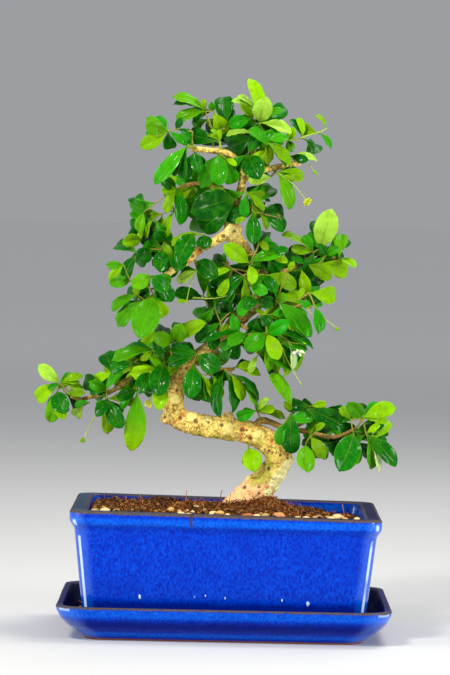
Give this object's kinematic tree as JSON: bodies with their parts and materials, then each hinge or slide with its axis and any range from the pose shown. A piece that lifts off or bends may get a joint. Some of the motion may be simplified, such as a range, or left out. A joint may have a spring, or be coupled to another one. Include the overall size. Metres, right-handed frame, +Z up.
{
  "type": "bonsai tree in a pot",
  "caption": "Small-leaved bonsai with a winding trunk, in a rectangular glazed pot that stands in a matching drip tray.",
  "frame": {"origin": "middle of the flat underside of the drip tray, on the surface that it stands on", "axes": "+Z up, +X along the long side of the pot to the viewer's right, +Y away from the viewer"},
  "size_m": [0.2371, 0.1658, 0.363],
  "materials": {
    "glaze": "deep blue glaze, glossy",
    "soil": "loose fibrous peat with pebbles",
    "bark": "rough pale bark",
    "leaf": "glossy green leaf"
  },
  "bodies": {
    "root": {"drip_tray": "glaze", "pot": "glaze", "soil": "soil", "spray_centre": "leaf", "spray_centre_left": "leaf", "spray_centre_low": "leaf", "spray_crown_left": "leaf", "spray_crown_middle": "leaf", "spray_crown_right": "leaf", "spray_cut_branch_end": "leaf", "spray_cut_branch_leaves": "leaf", "spray_elbow_top": "leaf", "spray_fork_right": "leaf", "spray_hanging_twig_leaves": "leaf", "spray_low_left_hanging": "leaf", "spray_low_left_middle": "leaf", "spray_low_left_start": "leaf", "spray_low_left_tip": "leaf", "spray_low_left_twig": "leaf", "spray_low_right_middle": "leaf", "spray_low_right_start": "leaf", "spray_low_right_tip": "leaf", "spray_middle_left_high": "leaf", "spray_middle_left_inner": "leaf", "spray_middle_left_low": "leaf", "spray_middle_left_top": "leaf", "spray_middle_right": "leaf", "spray_middle_right_end": "leaf", "spray_pink_twig_leaves": "leaf", "spray_rear_inner": "leaf", "spray_rear_left": "leaf", "spray_rear_middle": "leaf", "spray_rear_right": "leaf", "spray_rear_top": "leaf", "spray_rear_upper": "leaf", "spray_red_twig_leaves": "leaf", "spray_right_twig_end": "leaf", "spray_right_twig_start": "leaf", "spray_top": "leaf", "spray_top_buds": "leaf", "spray_top_front": "leaf", "spray_top_left": "leaf", "spray_top_left_upper": "leaf", "spray_trunk_tuft": "leaf", "spray_trunk_underside": "leaf", "spray_upper_left": "leaf", "spray_upper_right": "leaf", "spray_young_shoot": "leaf", "trunk": "bark"}
  },
  "joints": []
}
